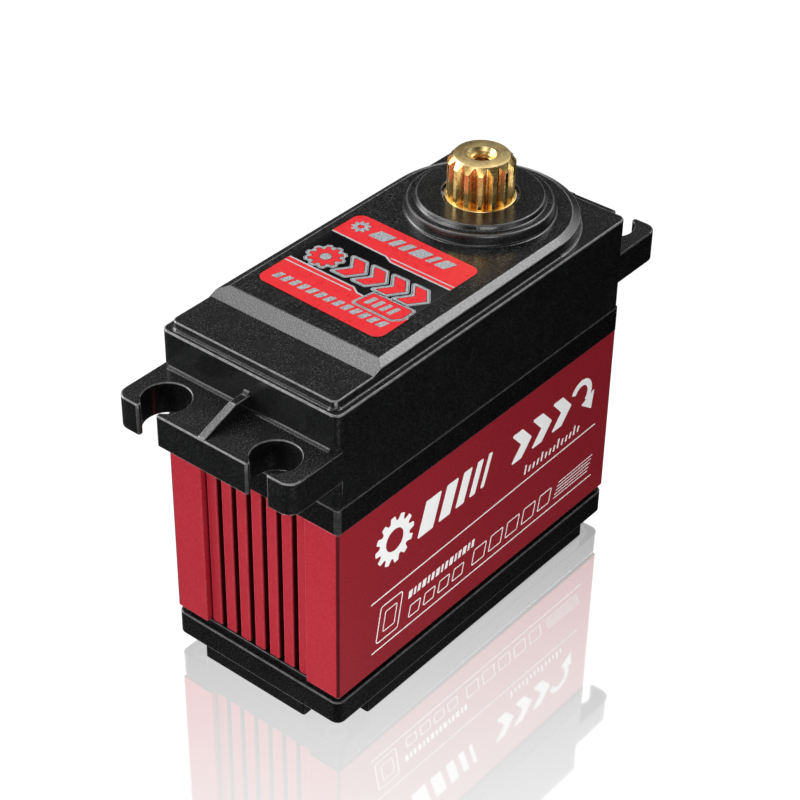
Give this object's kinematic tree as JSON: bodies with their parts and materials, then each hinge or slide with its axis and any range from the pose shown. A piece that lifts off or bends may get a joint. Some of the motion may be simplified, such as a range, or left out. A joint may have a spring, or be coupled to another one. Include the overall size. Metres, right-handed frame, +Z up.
{
  "type": "servo motor",
  "caption": "Geared servo motor with slotted mounting ears, a finned aluminium middle case and a splined brass output shaft on top.",
  "frame": {"origin": "middle of the case's footprint, on the plane the bottom cover rests on", "axes": "+X towards the output-shaft end, +Y across the case, +Z up along the output shaft"},
  "size_m": [0.076, 0.029, 0.0624],
  "materials": {
    "black_plastic": "fine spark-eroded black moulding",
    "red_anodised": "red anodised, bead blasted",
    "label": "printed adhesive label",
    "rubber": "soft black rubber",
    "brass": "turned brass",
    "steel": "ground steel",
    "dark_steel": "blackened steel",
    "magnet": "ferrite",
    "copper": "copper",
    "moulding": "moulded plastic",
    "pot_blue": "moulded plastic",
    "board_green": "solder mask",
    "cap_sleeve": "shrink sleeve",
    "ivory": "moulded plastic"
  },
  "bodies": {
    "case": {"bottom_cover": "black_plastic", "mid_case": "red_anodised", "gearbox_base": "black_plastic", "top_case": "black_plastic", "top_label": "label", "lead_grommet": "rubber", "case_screw_1": "dark_steel", "case_screw_2": "dark_steel", "case_screw_3": "dark_steel", "case_screw_4": "dark_steel", "upper_bearing_outer": "steel", "lower_bearing_outer": "steel", "gear_pin_a": "steel", "gear_pin_b": "steel", "motor_can": "steel", "motor_front_bush": "brass", "motor_end_cap": "moulding", "motor_magnet_1": "magnet", "motor_magnet_2": "magnet", "motor_brush_1": "moulding", "motor_brush_2": "moulding", "motor_terminal_1": "copper", "motor_terminal_2": "copper", "motor_screw_1": "dark_steel", "motor_screw_2": "dark_steel", "pot_body": "pot_blue", "circuit_board": "board_green", "controller_chip": "moulding", "mosfet_1": "moulding", "mosfet_2": "moulding", "mosfet_3": "moulding", "mosfet_4": "moulding", "smoothing_capacitor": "cap_sleeve", "lead_socket": "ivory"},
    "output": {"output_shaft": "brass", "output_gear": "steel", "pot_shaft": "steel", "upper_bearing_inner": "steel", "lower_bearing_inner": "steel"},
    "third_gear": {"gear_3_wheel": "brass", "gear_3_pinion": "steel"},
    "second_gear": {"gear_2_wheel": "brass", "gear_2_pinion": "steel"},
    "first_gear": {"gear_1_wheel": "brass", "gear_1_pinion": "steel"},
    "rotor": {"motor_shaft": "steel", "armature": "copper", "commutator": "copper", "motor_pinion": "brass"}
  },
  "joints": [
    {"name": "motor_spin", "type": "hinge", "parent": "case", "child": "rotor", "pos_m": [-0.00796, 0, 0], "axis": [0, 0, 1], "range_deg": [-9720, 9720]},
    {"name": "output_turn", "type": "hinge", "parent": "case", "child": "output", "pos_m": [0.01604, 0, 0], "axis": [0, 0, 1], "range_deg": [-90.5, 90.5]},
    {"name": "third_gear_spin", "type": "hinge", "parent": "case", "child": "third_gear", "pos_m": [0.00204, 0, 0], "axis": [0, 0, 1], "range_deg": [-272, 272]},
    {"name": "second_gear_spin", "type": "hinge", "parent": "case", "child": "second_gear", "pos_m": [-0.00702, 0.00423, 0], "axis": [0, 0, 1], "range_deg": [-815, 815]},
    {"name": "first_gear_spin", "type": "hinge", "parent": "case", "child": "first_gear", "pos_m": [0.00204, 0, 0], "axis": [0, 0, 1], "range_deg": [-2445, 2445]}
  ],
  "couplings": [
    {"joint": "output_turn", "follows": "motor_spin", "ratio": 0.0092593},
    {"joint": "third_gear_spin", "follows": "motor_spin", "ratio": -0.027778},
    {"joint": "second_gear_spin", "follows": "motor_spin", "ratio": 0.083333},
    {"joint": "first_gear_spin", "follows": "motor_spin", "ratio": -0.25}
  ]
}
